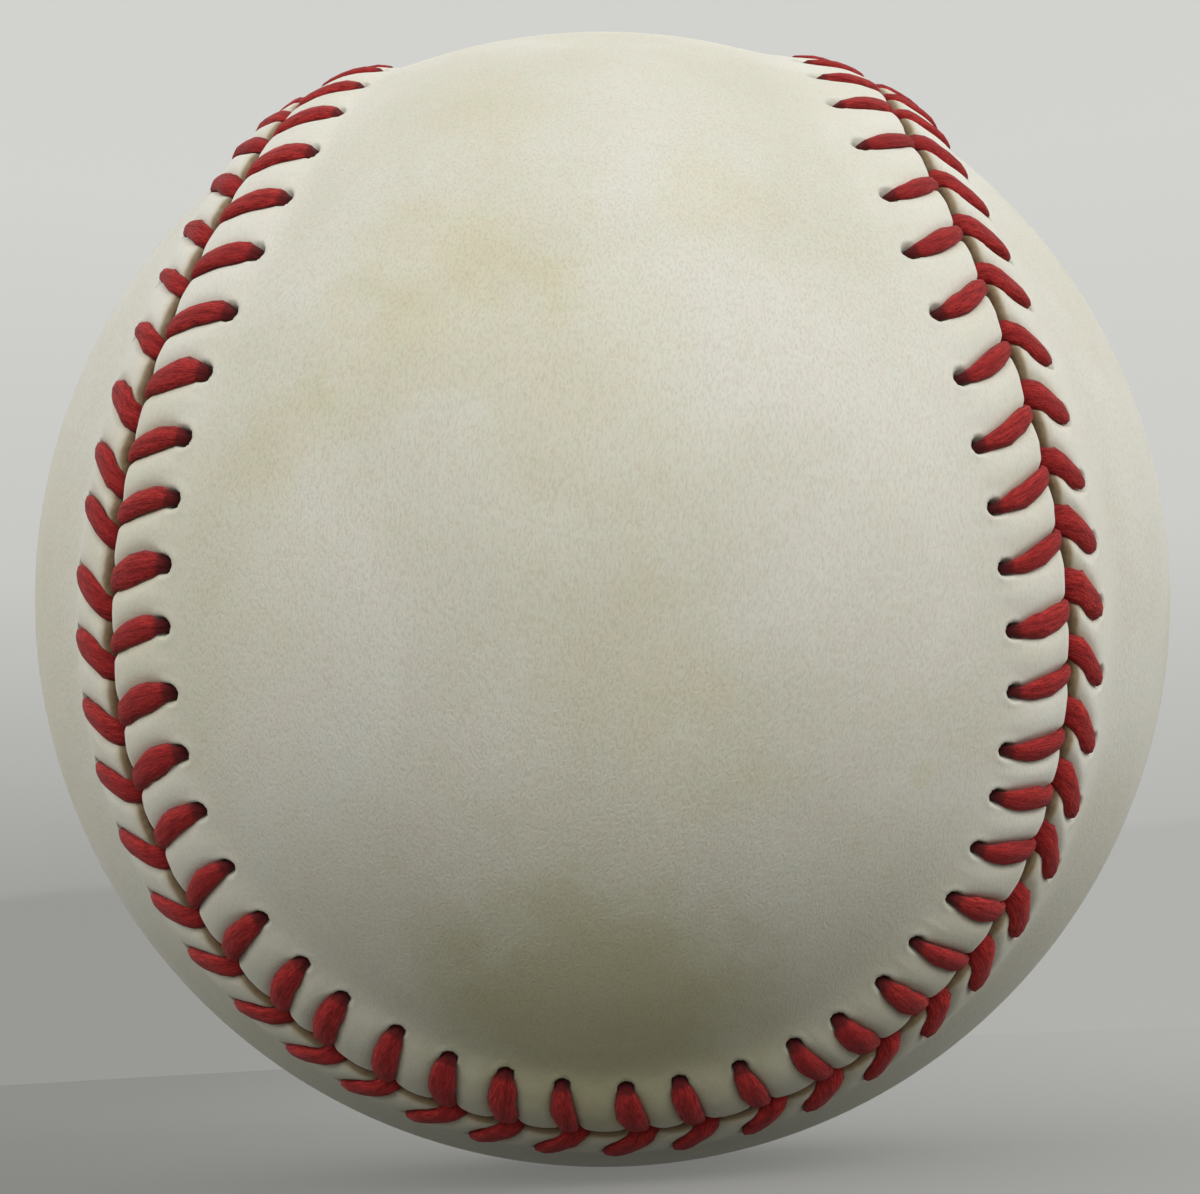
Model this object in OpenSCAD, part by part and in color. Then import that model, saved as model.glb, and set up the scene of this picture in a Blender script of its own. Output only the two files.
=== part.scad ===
// A stitched leather baseball, opened up as it is made: a cork and rubber pill,
// four yarn windings, a coat of rubber cement, two figure-eight leather panels
// and the two threads that lace them together.
// The origin is the ball's centre. The upper panel's neck crosses +Z and its
// lobes face -Y and +Y. The lower panel's neck crosses -Z, its lobes face -X and +X.

/* [Pill] */
// Radius of the cork centre
cork_r = 10.3; // [8:0.1:12]
// Thickness of the two black rubber half shells
black_rubber_t = 3.97; // [2.5:0.01:5]
// Thickness of the red washer between the half shells
washer_t = 1.2; // [0.6:0.1:2.4]
// Thickness of the red rubber jacket
jacket_t = 2.38; // [1.4:0.01:3.4]

/* [Windings] */
// Thickness of the first winding, four-ply blue-grey wool
first_wool_t = 13.85; // [12:0.05:16]
// Thickness of the second winding, three-ply white wool
second_wool_t = 1.8; // [1:0.05:3]
// Thickness of the third winding, three-ply blue-grey wool
third_wool_t = 2.25; // [1.2:0.05:3.2]
// Thickness of the finishing winding, fine white cotton
cotton_t = 0.5; // [0.3:0.05:1]
// Thickness of the rubber cement coat
cement_t = 0.1; // [0.05:0.01:0.3]

/* [Cover] */
// Thickness of the leather away from the seam
leather_t = 1.27; // [1.2:0.01:1.7]
// Gap under the leather, which its glue fills
glue_line = 0.18; // [0.16:0.01:0.3]
// Rise of the seam's crest over the plain leather
ridge_rise = 0.65; // [0.3:0.05:1]
// Distance from the middle of the seam to the crest of each panel
crest_d = 1.9; // [1.4:0.05:2.4]
// Fall of the leather from the crest to its cut edge
edge_drop = 0.4; // [0.2:0.05:0.6]
// Distance from the middle of the seam to the middle of the stitch holes
hole_d = 4.7; // [4:0.05:5.2]
// Length and width of a stitch hole
hole_w = 1.1; // [0.8:0.05:1.3]
// Rise of the leather at the near side of the holes over the plain leather
hole_rise = 0.3; // [0.1:0.05:0.4]
// Distance from the middle of the seam to where the leather lies flat again
band_d = 7.4; // [6.6:0.1:9]

/* [Stitching] */
// Number of stitches round the seam, each with a leg on both panels
stitch_count = 108; // [96:6:114]
// Thickness of the thread
thread_t = 0.45; // [0.3:0.05:0.6]
// Width of a stitch leg on the crest, where the strands lie spread
leg_w = 1.8; // [1.2:0.05:2]
// Width of the thread where it turns down into the seam
dive_w = 1; // [0.8:0.05:1.1]

/* [Seam] */
// Third harmonic of the seam's path, as a share of the first
seam_wave_share = 0.477; // [0.45:0.001:0.5]
// Height of the seam's path, as a share of its first harmonic
seam_height_share = 1.064; // [1:0.001:1.15]
// Place of the first hole, as a share of a stitch past the path's start
first_hole_share = -0.24; // [-0.5:0.01:0.5]
// Lean of the legs on the upper panel, as a share of a stitch
upper_lean_share = 0.27; // [0.2:0.01:0.35]
// Lean of the legs on the lower panel, as a share of a stitch
lower_lean_share = 0.67; // [0.62:0.01:0.75]

/* [Hidden] */

// Round surfaces of the pill and windings
$fn = 128;

// Overrun of the cuts that part the pill's shell
overrun = 1;
// Clearance between the thread and the leather that it lies on
thread_clear = 0.04;
// Clearance round the thread in a hole, on each side
hole_clear = 0.15;
// Clearance between the thread and each cut edge in the seam
gap_clear = 0.175;
// Clearance under the hidden thread, over the cement, and above it
bed_clear = 0.15;
roof_clear = 0.1;

// Radii, each built on the piece inside it
pill_shell_r = cork_r + black_rubber_t;
pill_r = pill_shell_r + jacket_t;
first_wool_r = pill_r + first_wool_t;
second_wool_r = first_wool_r + second_wool_t;
third_wool_r = second_wool_r + third_wool_t;
cotton_r = third_wool_r + cotton_t;
cement_r = cotton_r + cement_t;
leather_in_r = cement_r + glue_line;
cover_r = leather_in_r + leather_t;
crest_r = cover_r + ridge_rise;
edge_r = crest_r - edge_drop;
hole_near_r = cover_r + hole_rise;
hidden_r = cement_r + bed_clear + thread_t / 2;
roof_r = hidden_r + thread_t / 2 + roof_clear;

// Distances from the middle of the seam
edge_d = thread_t / 2 + gap_clear;
hole_near_d = hole_d - hole_w / 2;
hole_far_d = hole_d + hole_w / 2;

// Thread inside a hole
thread_w = hole_w - 2 * hole_clear;

// Seam path: a closed curve on the unit ball, tabulated by length
path_steps = 720;
path_nudge = 0.05;

function unit(v) = v / norm(v);
function seam_dir(a) = unit([
    cos(a) - seam_wave_share * cos(3 * a),
    sin(a) + seam_wave_share * sin(3 * a),
    seam_height_share * cos(2 * a)
]);
function seam_tangent(a) = unit(seam_dir(a + path_nudge) - seam_dir(a - path_nudge));

path_dirs = [for (i = [0:path_steps]) seam_dir(360 * i / path_steps)];
path_table = [
    for (i = 0, run = 0; i <= path_steps; i = i + 1,
        run = run + (i <= path_steps ? norm(path_dirs[i] - path_dirs[i - 1]) : 0))
    [run, 360 * i / path_steps]
];
path_length = path_table[path_steps][0];
stitch_pitch = path_length * cover_r / stitch_count;
hole_half_share = hole_w / 2 / stitch_pitch;

// Frame of the seam at a place counted in stitches: outward, along, towards the upper panel
function seam_frame(place) =
    let (turns = place / stitch_count)
    let (a = lookup((turns - floor(turns)) * path_length, path_table))
    let (out = seam_dir(a), along = seam_tangent(a))
    [out, along, cross(out, along)];

// Direction at a distance to the side of the seam, and the crosswise direction there
function turned(d) = d / cover_r * 180 / PI;
function side_dir(frame, d) = cos(turned(d)) * frame[0] + sin(turned(d)) * frame[2];
function cross_dir(frame, d) = cos(turned(d)) * frame[2] - sin(turned(d)) * frame[0];

// Panel stations: each stitch has one at either side of its hole
stations = 2 * stitch_count;
function station_place(i) =
    floor(i / 2) + first_hole_share + (i % 2 == 0 ? -hole_half_share : hole_half_share);
station_frames = [for (i = [0:stations - 1]) seam_frame(station_place(i))];

// Coarse stations, mirrored in the panel's middle plane, carry its plain field
coarse_stations = stations / 3;
rungs = coarse_stations / 2;
rung_cell_count = floor(rungs / 3);

// Two triangles of a quad whose corners run anticlockwise seen from outside
function quad(a, b, c, d, side) =
    side > 0 ? [[a, c, b], [a, d, c]] : [[a, b, c], [a, c, d]];
function tri(a, b, c, side) = side > 0 ? [a, c, b] : [a, b, c];

// Point of a rung, a great circle between two mirrored stations
function rung_dir(start, axis, share) =
    let (lift = asin(start[axis]) * (1 - 2 * share))
    let (flat = unit([for (n = [0:2]) n == axis ? 0 : start[n]]))
    [for (n = [0:2]) n == axis ? sin(lift) : cos(lift) * flat[n]];

// One leather panel, side 1 for the upper and -1 for the lower
module cover_panel(side) {
    upper = side > 0 ? 1 : 0;
    axis = side > 0 ? 0 : 1;
    first_shift = -upper * coarse_stations / 4;
    second_shift = 3 * upper * coarse_stations / 4;

    // Rows of dense points, each a distance from the seam and a radius
    rows = [
        [edge_d, edge_r], [crest_d, crest_r], [hole_near_d, hole_near_r], [hole_far_d, cover_r],
        [edge_d, roof_r], [hole_near_d, roof_r], [hole_far_d, roof_r]
    ];
    edge_top = 0;
    crest = 1;
    near_top = 2;
    far_top = 3;
    edge_low = 4;
    near_low = 5;
    far_low = 6;
    levels = [cover_r, leather_in_r];

    coarse_dirs = [
        for (j = [0:coarse_stations - 1])
        side_dir(seam_frame(j * stitch_count / coarse_stations), side * band_d)
    ];
    dense_points = [
        for (row = rows, frame = station_frames)
        row[1] * side_dir(frame, side * row[0])
    ];
    coarse_points = [for (r = levels, way = coarse_dirs) r * way];
    field_points = [
        for (r = levels, q = [1:rungs - 1], c = [1:rung_cell_count - 1])
        let (start = coarse_dirs[(q + first_shift + coarse_stations) % coarse_stations])
        r * rung_dir(start, axis, c / rung_cell_count)
    ];

    coarse_base = len(dense_points);
    field_base = coarse_base + len(coarse_points);
    field_count = (rungs - 1) * (rung_cell_count - 1);
    function dense(row, i) = row * stations + i % stations;
    function coarse(level, j) =
        coarse_base + level * coarse_stations + (j + coarse_stations) % coarse_stations;
    function field(level, q, c) =
        q == 0 || q == rungs || c == 0 ? coarse(level, q + first_shift) :
        c == rung_cell_count ? coarse(level, second_shift - q) :
        field_base + level * field_count + (q - 1) * (rung_cell_count - 1) + c - 1;

    function strip(from, to, picked) = [
        for (i = picked)
        each quad(dense(from, i), dense(from, i + 1), dense(to, i + 1), dense(to, i), side)
    ];
    every = [0:stations - 1];
    holes = [0:2:stations - 2];
    lands = [1:2:stations - 1];

    // From the dense rows to the coarse ones, three stations to one
    function fan(row, level, way) = [
        for (j = [0:coarse_stations - 1])
        let (a = dense(row, 3 * j), b = dense(row, 3 * j + 1))
        let (c = dense(row, 3 * j + 2), d = dense(row, 3 * j + 3))
        let (near = coarse(level, j), next = coarse(level, j + 1))
        each [
            tri(a, b, near, way), tri(b, next, near, way),
            tri(b, c, next, way), tri(c, d, next, way)
        ]
    ];
    function plain(level, way) = [
        for (q = [0:rungs - 1], c = [0:rung_cell_count - 1])
        let (a = field(level, q, c), b = field(level, q + 1, c))
        let (d = field(level, q + 1, c + 1), e = field(level, q, c + 1))
        each q == 0 ? [tri(a, b, d, way)] :
            q == rungs - 1 ? [tri(a, b, e, way)] : quad(a, b, d, e, way)
    ];
    hole_ends = [
        for (i = holes)
        each concat(
            quad(dense(near_low, i), dense(far_low, i), dense(far_top, i), dense(near_top, i), side),
            quad(dense(near_low, i + 1), dense(near_top, i + 1),
                dense(far_top, i + 1), dense(far_low, i + 1), side)
        )
    ];

    polyhedron(
        points = concat(dense_points, coarse_points, field_points),
        faces = concat(
            strip(edge_low, edge_top, every),
            strip(edge_top, crest, every),
            strip(crest, near_top, every),
            strip(near_top, far_top, lands),
            fan(far_top, 0, side),
            plain(0, side),
            strip(near_low, edge_low, every),
            strip(far_low, near_low, lands),
            fan(far_low, 1, -side),
            plain(1, -side),
            strip(near_top, near_low, holes),
            strip(far_low, far_top, holes),
            hole_ends
        ),
        convexity = 10
    );
}

// Rings of one stitch leg, from its hole to the seam. Each has its distance from
// the seam, its radius, half its width, and the corner that its thickness reaches.
half_t = thread_t / 2;
leg_rings = [
    [hole_d, hidden_r, thread_w / 2, [-half_t, half_t]],
    [hole_d, hole_near_r + thread_clear + half_t, thread_w / 2, [-half_t, -half_t]],
    [crest_d, crest_r + thread_clear + half_t, leg_w / 2, [0, -half_t]],
    [0, edge_r + thread_clear + half_t, dive_w / 2, [half_t, -half_t]],
    [0, hidden_r, thread_w / 2, [half_t, -half_t]]
];

// Corners of one ring: the thread's side of the seam turns the section over
function ring_points(place, side, ring) =
    let (frame = seam_frame(place), d = side * ring[0])
    let (out = side_dir(frame, d), over = cross_dir(frame, d))
    let (middle = ring[1] * out, wide = ring[2] * frame[1])
    let (thick = ring[3][0] * over + side * ring[3][1] * out)
    [middle + thick + wide, middle + thick - wide, middle - thick - wide, middle - thick + wide];

// One thread, which takes a leg on the upper panel at every other stitch and
// one on the lower panel between, and passes under the leather from leg to leg
module seam_thread(start) {
    leg_points = [
        for (k = [0:stitch_count - 1])
        let (side = (k + start) % 2 == 0 ? 1 : -1)
        let (lean = side > 0 ? upper_lean_share : lower_lean_share)
        for (ring = leg_rings)
        let (place = k + first_hole_share + lean * (1 - ring[0] / hole_d))
        each ring_points(place, side, ring)
    ];
    rings = len(leg_points) / 4;
    last = 4 * (rings - 1);
    polyhedron(
        points = leg_points,
        faces = concat(
            [[0, 1, 2], [0, 2, 3]],
            [
                for (r = [0:rings - 2], n = [0:3])
                let (a = 4 * r + n, b = 4 * r + (n + 1) % 4)
                each [[a, a + 4, b + 4], [a, b + 4, b]]
            ],
            [[last, last + 2, last + 1], [last, last + 3, last + 2]]
        ),
        convexity = 10
    );
}

// Hollow ball between two radii
module ball_shell(outer, inner) {
    difference() {
        sphere(r = outer);
        sphere(r = inner);
    }
}

// Slab across the pill that the washer fills
module washer_slab() {
    cylinder(h = washer_t, r = pill_shell_r + overrun, center = true);
}

// One half of the pill's black shell, way 1 for the upper and -1 for the lower
module half_shell(way) {
    intersection() {
        ball_shell(pill_shell_r, cork_r);
        mirror([0, 0, way > 0 ? 0 : 1])
            translate([0, 0, washer_t / 2])
            cylinder(h = pill_shell_r, r = pill_shell_r + overrun);
    }
}

module cork_core() {
    color("peru") sphere(r = cork_r);
}

module black_rubber_upper_half() {
    color([0.1, 0.1, 0.1]) half_shell(1);
}

module black_rubber_lower_half() {
    color([0.16, 0.16, 0.16]) half_shell(-1);
}

module red_rubber_washer() {
    color([0.75, 0.2, 0.15])
        intersection() {
            ball_shell(pill_shell_r, cork_r);
            washer_slab();
        }
}

module red_rubber_jacket() {
    color([0.65, 0.15, 0.12]) ball_shell(pill_r, pill_shell_r);
}

module first_wool_winding() {
    color([0.45, 0.5, 0.56]) ball_shell(first_wool_r, pill_r);
}

module second_wool_winding() {
    color([0.88, 0.87, 0.82]) ball_shell(second_wool_r, first_wool_r);
}

module third_wool_winding() {
    color([0.5, 0.54, 0.6]) ball_shell(third_wool_r, second_wool_r);
}

module cotton_winding() {
    color([0.93, 0.93, 0.9]) ball_shell(cotton_r, third_wool_r);
}

module rubber_cement_coat() {
    color([0.85, 0.8, 0.62]) ball_shell(cement_r, cotton_r);
}

module upper_cover_panel() {
    color([0.87, 0.86, 0.79]) cover_panel(1);
}

module lower_cover_panel() {
    color([0.82, 0.81, 0.75]) cover_panel(-1);
}

module first_seam_thread() {
    color([0.62, 0.14, 0.15]) seam_thread(0);
}

module second_seam_thread() {
    color([0.55, 0.1, 0.12]) seam_thread(1);
}

cork_core();
black_rubber_upper_half();
black_rubber_lower_half();
red_rubber_washer();
red_rubber_jacket();
first_wool_winding();
second_wool_winding();
third_wool_winding();
cotton_winding();
rubber_cement_coat();
upper_cover_panel();
lower_cover_panel();
first_seam_thread();
second_seam_thread();
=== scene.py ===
"""A stitched leather baseball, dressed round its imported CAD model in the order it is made:
the pill, the windings, the cement, the two leather panels and the thread that laces them,
then the table it stands on, the light and the camera. Lengths are in metres once they are in
a mesh; the sizes that a maker would state are written in millimetres and scaled by MM."""
import math

import bpy
import numpy as np
from mathutils import Matrix, Vector


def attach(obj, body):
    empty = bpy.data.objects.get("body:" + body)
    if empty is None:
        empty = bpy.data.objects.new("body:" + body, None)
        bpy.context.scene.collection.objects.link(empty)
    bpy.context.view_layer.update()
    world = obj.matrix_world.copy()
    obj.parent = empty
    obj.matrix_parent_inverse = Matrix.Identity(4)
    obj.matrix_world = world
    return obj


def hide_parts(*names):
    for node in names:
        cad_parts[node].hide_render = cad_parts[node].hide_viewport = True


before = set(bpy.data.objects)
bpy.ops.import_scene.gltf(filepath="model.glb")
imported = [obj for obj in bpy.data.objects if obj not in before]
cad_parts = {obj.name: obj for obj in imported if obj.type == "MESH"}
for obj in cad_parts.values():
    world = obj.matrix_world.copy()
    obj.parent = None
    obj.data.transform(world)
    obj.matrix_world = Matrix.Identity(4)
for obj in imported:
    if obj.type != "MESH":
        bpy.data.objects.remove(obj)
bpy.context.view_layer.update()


# Cork centre: a ball of ground cork bound with rubber, moulded to shape. It is brown with
# darker and lighter crumbs, matt, and rough to the touch.
MM = 0.001


def paint(red, green, blue):
    """A colour as it is seen on a screen, 0 to 255, in the linear values a node takes."""
    seen = np.array([red, green, blue]) / 255
    linear = np.where(seen <= 0.04045, seen / 12.92, ((seen + 0.055) / 1.055) ** 2.4)
    return (*(float(v) for v in linear), 1.0)


def socket_of(sockets, key):
    """The socket with that number, identifier or name."""
    if isinstance(key, int):
        return sockets[key]
    for field in ("identifier", "name"):
        for socket in sockets:
            if getattr(socket, field) == key:
                return socket
    raise KeyError(key)


class Value:
    """An output of a node that takes part in sums, products and powers."""

    def __init__(self, nodes, socket):
        self.nodes, self.socket = nodes, socket

    def math(self, operation, *terms, clamp=False):
        settings = {"operation": operation, "use_clamp": clamp}
        return self.nodes.add("ShaderNodeMath", settings, dict(enumerate(terms)))

    def __add__(self, other):
        return self.math("ADD", self, other)

    __radd__ = __add__

    def __sub__(self, other):
        return self.math("SUBTRACT", self, other)

    def __rsub__(self, other):
        return self.math("SUBTRACT", other, self)

    def __mul__(self, other):
        return self.math("MULTIPLY", self, other)

    __rmul__ = __mul__

    def __truediv__(self, other):
        return self.math("DIVIDE", self, other)

    def __pow__(self, power):
        return self.math("POWER", self, power)

    def clamped(self):
        return self.math("ADD", self, 0.0, clamp=True)

    def eased(self, low, high):
        """0 below low, 1 above high, and a smooth change between."""
        settings = {"interpolation_type": "SMOOTHSTEP"}
        limits = {"Value": self, "From Min": low, "From Max": high}
        return self.nodes.add("ShaderNodeMapRange", settings, limits, "Result")


class Nodes:
    """Adds nodes to one tree."""

    def __init__(self, tree):
        self.tree = tree

    def add(self, kind, settings=None, inputs=None, output=0):
        """A node of that kind, its settings made first, then its sockets fed by number or name."""
        node = self.tree.nodes.new(kind)
        for name, value in (settings or {}).items():
            if name == "stops":
                ramp = node.color_ramp.elements
                while len(ramp) < len(value):
                    ramp.new(1)
                for stop, (place, colour) in zip(ramp, value):
                    stop.position, stop.color = place, colour
            else:
                setattr(node, name, value)
        for key, value in (inputs or {}).items():
            socket = socket_of(node.inputs, key)
            if isinstance(value, Value):
                self.tree.links.new(value.socket, socket)
            else:
                socket.default_value = value
        return Value(self, socket_of(node.outputs, output)) if node.outputs else None

    def blend(self, share, low, high, way="MIX"):
        """Colour low where share is 0 and high where it is 1."""
        settings = {"data_type": "RGBA", "blend_type": way, "clamp_factor": True}
        inputs = {"Factor_Float": share, "A_Color": low, "B_Color": high}
        return self.add("ShaderNodeMix", settings, inputs, "Result_Color")

    def vector(self, operation, *terms, output=0):
        settings = {"operation": operation}
        return self.add("ShaderNodeVectorMath", settings, dict(enumerate(terms)), output)

    def scaled(self, vector, scale):
        return self.add("ShaderNodeVectorMath", {"operation": "SCALE"}, {0: vector, "Scale": scale})


class Finish(Nodes):
    """A material, made of one Principled surface fed by patterns."""

    def __init__(self, name):
        self.material = bpy.data.materials.new(name)
        self.material.use_nodes = True
        super().__init__(self.material.node_tree)
        self.tree.nodes.clear()
        self.place = self.add("ShaderNodeTexCoord", output="Object")

    def noise(self, grain, detail=2.0, roughness=0.5, warp=0.0, place=None):
        """Cloudy pattern from 0 to 1, whose clouds are about grain metres across."""
        inputs = {"Vector": place or self.place, "Scale": 1 / grain, "Detail": detail,
                  "Roughness": roughness, "Distortion": warp}
        return self.add("ShaderNodeTexNoise", {}, inputs, "Fac")

    def cells(self, grain, output="Distance"):
        """Cells about grain metres across: the distance to a cell's middle, or its colour."""
        inputs = {"Vector": self.place, "Scale": 1 / grain}
        return self.add("ShaderNodeTexVoronoi", {}, inputs, output)

    def attribute(self, name):
        return self.add("ShaderNodeAttribute", {"attribute_name": name}, output="Fac")

    def close(self, colour, roughness, height=None, depth=0.0, **constants):
        """Finishes the material. height is a pattern from 0 to 1, depth metres deep."""
        inputs = {"Base Color": colour, "Roughness": roughness}
        if height is not None:
            bump = {"Strength": 1.0, "Distance": depth, "Height": height}
            inputs["Normal"] = self.add("ShaderNodeBump", {}, bump, "Normal")
        inputs.update({name.replace("_", " "): value for name, value in constants.items()})
        surface = self.add("ShaderNodeBsdfPrincipled", {}, inputs, "BSDF")
        self.add("ShaderNodeOutputMaterial", {}, {"Surface": surface})
        return self.material


def dress(piece, material):
    """Gives a whole piece one material."""
    piece.data.materials.clear()
    piece.data.materials.append(material)
    piece.data.polygons.foreach_set("material_index", [0] * len(piece.data.polygons))


cork = Finish("ground_cork")
crumbs = cork.cells(1.3 * MM, output="Color")
crumb_tone = cork.add("ShaderNodeSeparateColor", {}, {"Color": crumbs}, "Red")
cork_colour = cork.blend(crumb_tone, paint(116, 74, 42), paint(186, 138, 88))
cork_colour = cork.blend(cork.noise(0.5 * MM).eased(0.6, 0.72), cork_colour, paint(66, 40, 24))
dress(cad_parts["cork_core"], cork.close(
    cork_colour, 0.7 + 0.25 * cork.noise(0.4 * MM), cork.cells(0.9 * MM), 0.12 * MM))


# Black rubber half shells and the red washer between their rims: moulded rubber that closes
# round the cork, with the dusty bloom that moulded rubber has.
def rubber(name, plain, bloom):
    finish = Finish(name)
    dust = finish.noise(3.0 * MM, detail=4).eased(0.45, 0.7)
    colour = finish.blend(dust, plain, bloom)
    skin = finish.noise(0.25 * MM, detail=3) * 0.6 + finish.cells(0.8 * MM) * 0.4
    return finish.close(colour, 0.42 + 0.25 * dust, skin, 0.03 * MM)


black_rubber = rubber("moulded_black_rubber", paint(24, 24, 25), paint(58, 57, 55))
red_rubber = rubber("moulded_red_rubber", paint(150, 34, 26), paint(182, 78, 62))
dress(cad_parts["black_rubber_upper_half"], black_rubber)
dress(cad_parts["black_rubber_lower_half"], black_rubber)
dress(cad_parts["red_rubber_washer"], red_rubber)


# Red rubber jacket: the pill's outer skin, soft red rubber moulded on over the black half
# shells and the washer's rim, which closes the pill.
dress(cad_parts["red_rubber_jacket"], red_rubber)


# Wool windings: four-ply blue-grey, three-ply white and three-ply blue-grey yarn, wound under
# tension in great circles that cross at every angle.
WOUND_R = 0.03
LAYER_SHIFT = (0.031, 0.017, 0.0)


def yarn(name, dark, light, width, bands):
    """Crossed layers of wound yarn, width metres thick. bands gives each layer's pole."""
    finish = Finish(name)
    outward = finish.vector("NORMALIZE", finish.place)
    colour, height = light, 0.5
    for number, pole in enumerate(bands):
        swing = finish.noise(14 * MM, detail=0) * 0.3
        lean = finish.vector("DOT_PRODUCT", outward, pole, output="Value") + swing
        phase = lean * (WOUND_R / width * 2 * math.pi)
        turn = phase.math("SINE", phase)
        twist = finish.noise(width * 0.5, detail=2)
        strand = (turn * 0.5 + 0.5) ** 0.6 * 0.8 + twist * 0.2
        shift = finish.vector("ADD", finish.place, tuple(number * by for by in LAYER_SHIFT))
        on_top = finish.noise(6 * MM, detail=1, place=shift).eased(0.5, 0.53) if number else 1.0
        # Each strand is painted dark at its sides and light at its crown: painted shade between the
        # strands
        layer = finish.blend(strand, dark, light)
        colour = finish.blend(on_top, colour, layer)
        height = height * (1 - on_top) + strand * on_top if number else strand
    return finish.close(colour, 0.92, height, 0.25 * MM, Sheen_Weight=0.4)


POLES = [(0.2, 0.9, 0.4), (0.85, 0.1, -0.5), (-0.5, 0.6, 0.62), (0.3, -0.4, 0.87)]
FOUR_PLY_W, THREE_PLY_W = 1.3 * MM, 1.0 * MM
blue_grey_wool = yarn(
    "wound_blue_grey_wool", paint(62, 70, 82), paint(140, 150, 164), FOUR_PLY_W, POLES)
white_wool = yarn(
    "wound_white_wool", paint(150, 144, 128), paint(232, 228, 214), THREE_PLY_W, POLES)
dress(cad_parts["first_wool_winding"], blue_grey_wool)
dress(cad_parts["second_wool_winding"], white_wool)
dress(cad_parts["third_wool_winding"], blue_grey_wool)


# Finishing winding: 150 yards of fine white cotton, wound over the wool in the same great
# circles, which smooths the ball for its cover.
COTTON_W = 0.4 * MM
white_cotton = yarn("wound_cotton", paint(172, 168, 152), paint(238, 235, 224), COTTON_W, POLES)
dress(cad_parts["cotton_winding"], white_cotton)


# Rubber cement: a thin tacky coat, pale amber and uneven, rolled over the cotton so that the
# cover can't creep.
cement = Finish("dried_cement")
runs = cement.noise(4 * MM, detail=3, warp=0.6)
cement_colour = cement.blend(runs, paint(196, 172, 116), paint(226, 210, 166))
dress(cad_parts["rubber_cement_coat"], cement.close(
    cement_colour, 0.2 + 0.35 * runs, cement.noise(0.8 * MM, detail=2), 0.05 * MM))


# Cover panels: two figure-eights of alum-tanned horsehide or cowhide, cut, punched with 108
# holes each, dampened, stretched over the ball and laced edge to edge. The lacing lifts the
# leather into a ridge along the seam, puffed between the stitches and pressed in under them.
BALL_R = 36.55
STITCHES = 108
SEAM_WAVE, SEAM_HEIGHT = 0.477, 1.064

# Names ending in D are millimetres from the seam's middle over the leather, names ending in
# RISE are millimetres above the plain ball, and dictionaries are keyed 1 for the upper panel
# and -1 for the lower one
HOLE_PLACE, HOLE_D = -0.24, 4.7
LEANS = {1: 0.27, -1: 0.5}
LEAN_CURVE, LEAN_EVEN_D = 1.5, 1.0
RIM_D, CREST_D, BAND_D = 1.0, 2.0, 8.0
CREST_RISE, EDGE_DROP, PUFF_RISE, LEG_PRESS = 0.86, 0.5, 0.17, 0.33
RIDGE_CURVE = 1.9
STRAY, STRAY_LEAN, STRAY_START, STRAY_RUN = 0.38, -0.15, 90, 18
STRAY_FADE = (3.0, 8.3)
TAPER_RUN = (1.8, 4.7)
UNDER_RISE, ROOF_RISE = -1.21, -0.72
PER_STITCH = 24
EDGE_D, OWN_GIVE, OTHER_GIVE = 0.22, 0.18, 0.1
PUNCH_HALF_W, PUNCH_HALF_D, PUNCH_OUT, PUNCH_DEPTH, LIP_RISE = 0.54, 0.5, 0.14, 0.68, 0.05
GROOVE_SPREAD, GROOVE_SQUARE = 1.12, 3.2
FINE_D, FIELD_D, FIELD_CELLS = 7.6, 8.3, 48
FLESH_DROP, FLESH_CELLS = 0.22, 12

angles = np.linspace(0, 2 * math.pi, 7201)


def eased(value, low, high):
    share = np.clip((value - low) / (high - low), 0, 1)
    return share * share * (3 - 2 * share)


def seam_direction(angle):
    """The seam's path on the unit ball."""
    path = np.stack([np.cos(angle) - SEAM_WAVE * np.cos(3 * angle),
                     np.sin(angle) + SEAM_WAVE * np.sin(3 * angle),
                     SEAM_HEIGHT * np.cos(2 * angle)], axis=-1)
    return path / np.linalg.norm(path, axis=-1, keepdims=True)


steps = np.linalg.norm(np.diff(seam_direction(angles), axis=0), axis=1)
run_out = np.concatenate([[0], np.cumsum(steps)])
PITCH = run_out[-1] * BALL_R / STITCHES


def seam_frames(place):
    """Outward, along and over-to-the-upper-panel directions at places counted in stitches."""
    angle = np.interp(np.mod(place / STITCHES, 1) * run_out[-1], run_out, angles)
    outward = seam_direction(angle)
    along = seam_direction(angle + 1e-4) - seam_direction(angle - 1e-4)
    along /= np.linalg.norm(along, axis=-1, keepdims=True)
    return outward, along, np.cross(outward, along)


def wander(place):
    """How far, in millimetres, a hand-laced seam strays from its path towards the upper side."""
    wave = STRAY * np.sin(2 * math.pi * (place - STRAY_START) / STRAY_RUN) + STRAY_LEAN
    pulled = np.interp(place, [12, 40, 54, 58, 61, 62.5, 64.5, 101, 102.2, 104, 108],
                       [0, 0, 1.3, 1.0, 0.8, 0.35, 0, 0, -0.3, -1.0, -1.2], period=STITCHES)
    return wave + pulled


def slip(place):
    """How many stitches the holes of both panels have slipped along the seam."""
    return np.interp(place, [15, 40, 54, 58, 60, 62, 65, 97, 101, 103, 105, 108],
                     [0, 0, -0.9, -0.75, -0.45, -0.2, 0, 0.12, 0.2, 0.4, 0.5, 0.5], period=STITCHES)


def over_ball(place, d, rise):
    """Points at places along the seam, d to its upper side and rise above the plain ball."""
    outward, _, over = seam_frames(place)
    turn = ((d + wander(place) * (1 - eased(np.abs(d), *STRAY_FADE))) / BALL_R)[..., None]
    way = np.cos(turn) * outward + np.sin(turn) * over
    return way * (BALL_R + rise)[..., None] * MM


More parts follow.
